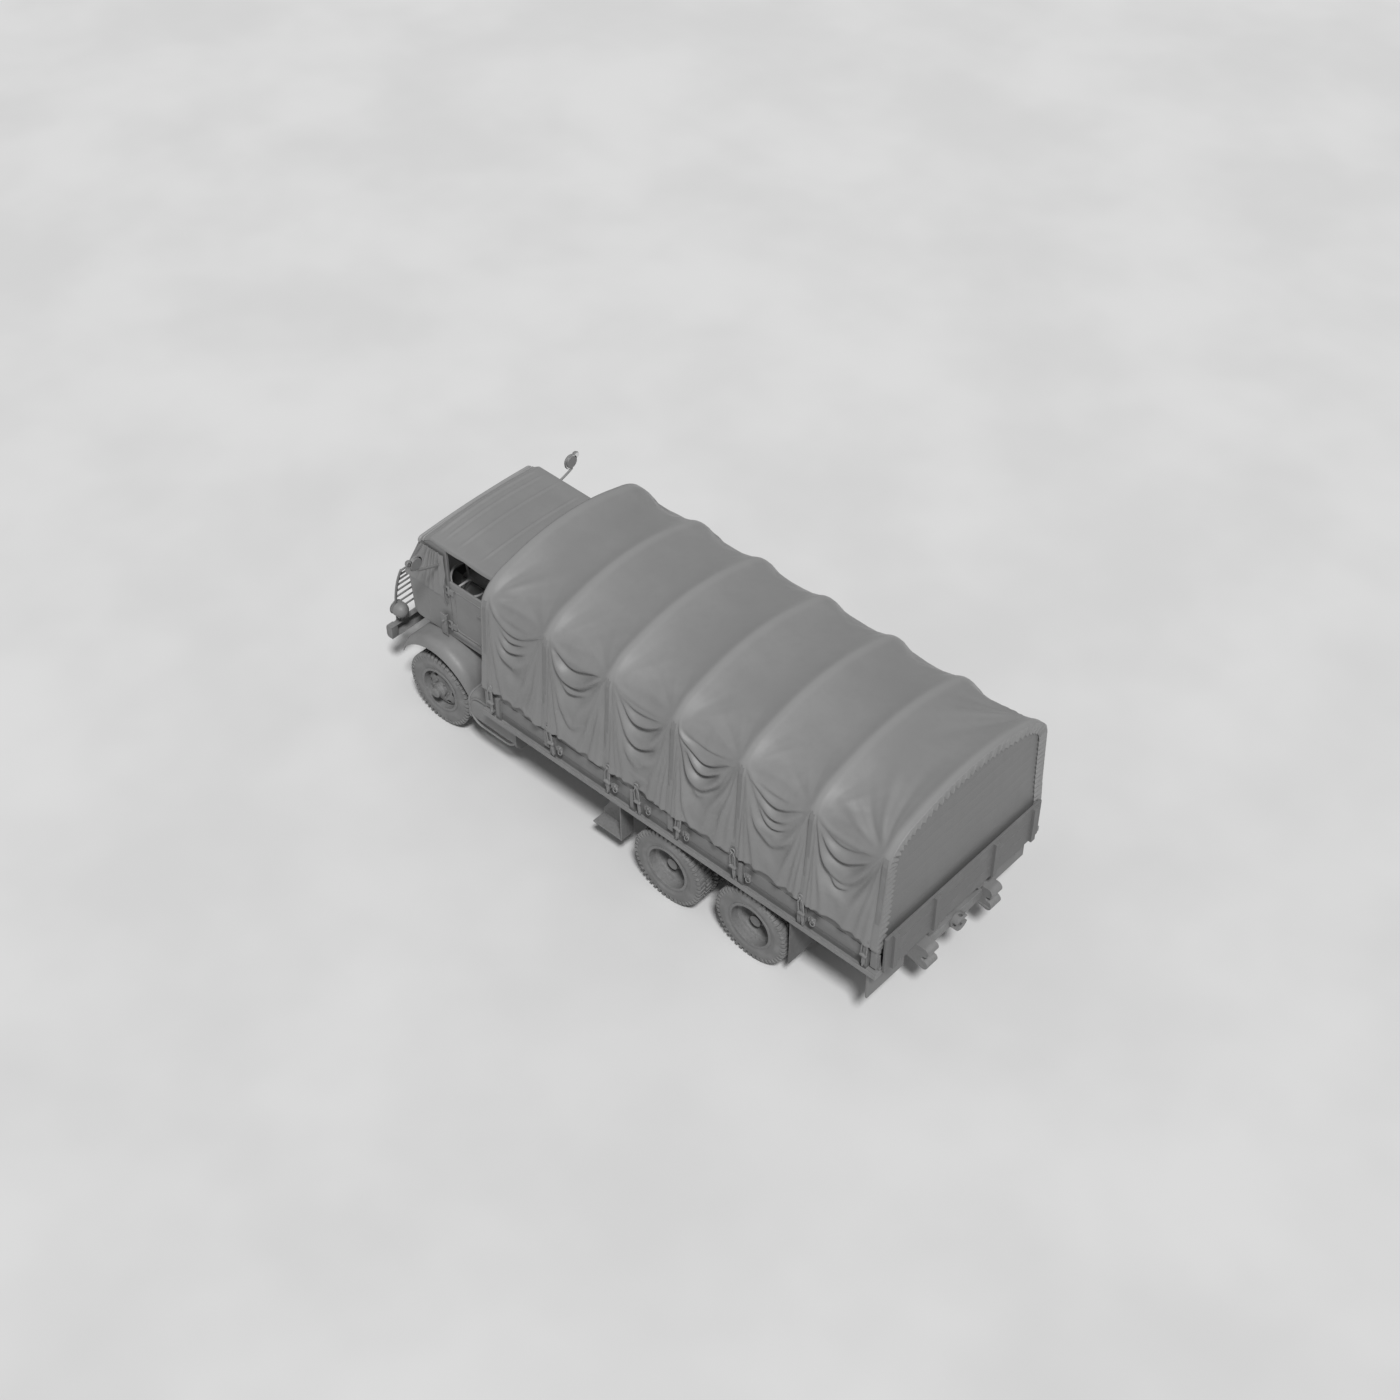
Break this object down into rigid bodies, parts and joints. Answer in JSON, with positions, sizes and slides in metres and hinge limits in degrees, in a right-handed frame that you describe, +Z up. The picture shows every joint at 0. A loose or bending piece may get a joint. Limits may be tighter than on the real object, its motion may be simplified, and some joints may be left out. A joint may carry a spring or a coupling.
{
  "type": "military cargo truck",
  "caption": "Cab-over six-wheel-drive army cargo truck with a canvas cab roof, half doors and a long bed under a canvas cover stretched on bows.",
  "frame": {"origin": "on the floor, below the middle of the truck's overall length and width", "axes": "+X forward, +Y to the truck's left, +Z up"},
  "size_m": [7.3799, 2.576, 2.9158],
  "materials": {
    "paint": "flat grey service paint, slightly worn",
    "tyre": "dull grey rubber with shoulder lugs",
    "glass": "clear flat safety glass",
    "canvas": "heavy proofed canvas, grey",
    "boards": "painted hardwood boards",
    "steel": "dull dark steel",
    "cushion": "padded canvas seat cover",
    "lamp": "painted lamp shells with clear lenses",
    "flap": "thick reinforced rubber sheet"
  },
  "bodies": {
    "truck": {"axle_mid": "paint", "axle_rear": "paint", "bed_floor": "boards", "bed_frame": "paint", "bed_side_left": "boards", "bed_side_right": "boards", "bows": "boards", "brush_guard": "paint", "cab_back": "paint", "cab_floor": "paint", "cab_roof": "canvas", "cab_side_left": "paint", "cab_side_right": "paint", "corner_boards": "boards", "cover": "canvas", "driveline": "steel", "engine": "steel", "exhaust": "steel", "fender_left": "paint", "fender_right": "paint", "frame": "paint", "front_axle": "paint", "front_bumper": "paint", "fuel_tank_left": "paint", "fuel_tank_right": "paint", "headboard": "boards", "headlamps": "lamp", "mirrors": "paint", "mudflaps": "flap", "nose": "paint", "radiator": "steel", "rear_curtain": "canvas", "rear_guards": "paint", "seat_backs": "cushion", "seat_cushions": "cushion", "side_step_left": "paint", "side_step_right": "paint", "springs": "steel", "steering_wheel": "steel", "windscreen_frame": "paint", "windscreen_glass": "glass"},
    "knuckle_left": {"knuckle_left": "paint"},
    "knuckle_right": {"knuckle_right": "paint"},
    "door_left": {"door_left": "paint"},
    "door_right": {"door_right": "paint"},
    "tailgate": {"tailgate": "boards"},
    "wheel_front_left": {"tyre_front_left": "tyre", "wheel_front_left": "paint"},
    "wheel_front_right": {"tyre_front_right": "tyre", "wheel_front_right": "paint"},
    "wheels_mid_left": {"tyres_mid_left": "tyre", "wheel_mid_left": "paint"},
    "wheels_mid_right": {"tyres_mid_right": "tyre", "wheel_mid_right": "paint"},
    "wheels_rear_left": {"tyres_rear_left": "tyre", "wheel_rear_left": "paint"},
    "wheels_rear_right": {"tyres_rear_right": "tyre", "wheel_rear_right": "paint"}
  },
  "joints": [
    {"name": "steer_left", "type": "hinge", "parent": "truck", "child": "knuckle_left", "pos_m": [2.74, 0.69, 0.459], "axis": [0, 0, 1], "range_deg": [-30, 30]},
    {"name": "spin_front_left", "type": "hinge", "parent": "knuckle_left", "child": "wheel_front_left", "pos_m": [2.74, 0.9, 0.459], "axis": [0, 1, 0], "continuous": true},
    {"name": "spin_mid_left", "type": "hinge", "parent": "truck", "child": "wheels_mid_left", "pos_m": [-0.867, 1.005, 0.459], "axis": [0, 1, 0], "continuous": true},
    {"name": "spin_rear_left", "type": "hinge", "parent": "truck", "child": "wheels_rear_left", "pos_m": [-1.985, 1.005, 0.459], "axis": [0, 1, 0], "continuous": true},
    {"name": "door_left_swing", "type": "hinge", "parent": "truck", "child": "door_left", "pos_m": [2.631, 0.817, 1.6], "axis": [0, 0, -1], "range_deg": [0, 75]},
    {"name": "steer_right", "type": "hinge", "parent": "truck", "child": "knuckle_right", "pos_m": [2.74, -0.69, 0.459], "axis": [0, 0, 1], "range_deg": [-30, 30]},
    {"name": "spin_front_right", "type": "hinge", "parent": "knuckle_right", "child": "wheel_front_right", "pos_m": [2.74, -0.9, 0.459], "axis": [0, 1, 0], "continuous": true},
    {"name": "spin_mid_right", "type": "hinge", "parent": "truck", "child": "wheels_mid_right", "pos_m": [-0.867, -1.005, 0.459], "axis": [0, 1, 0], "continuous": true},
    {"name": "spin_rear_right", "type": "hinge", "parent": "truck", "child": "wheels_rear_right", "pos_m": [-1.985, -1.005, 0.459], "axis": [0, 1, 0], "continuous": true},
    {"name": "door_right_swing", "type": "hinge", "parent": "truck", "child": "door_right", "pos_m": [2.631, -0.817, 1.6], "axis": [0, 0, 1], "range_deg": [0, 75]},
    {"name": "tailgate_drop", "type": "hinge", "parent": "truck", "child": "tailgate", "pos_m": [-3.607, 0, 1.042], "axis": [0, -1, 0], "range_deg": [0, 90]}
  ],
  "couplings": [
    {"joint": "steer_right", "follows": "steer_left", "ratio": 1}
  ]
}
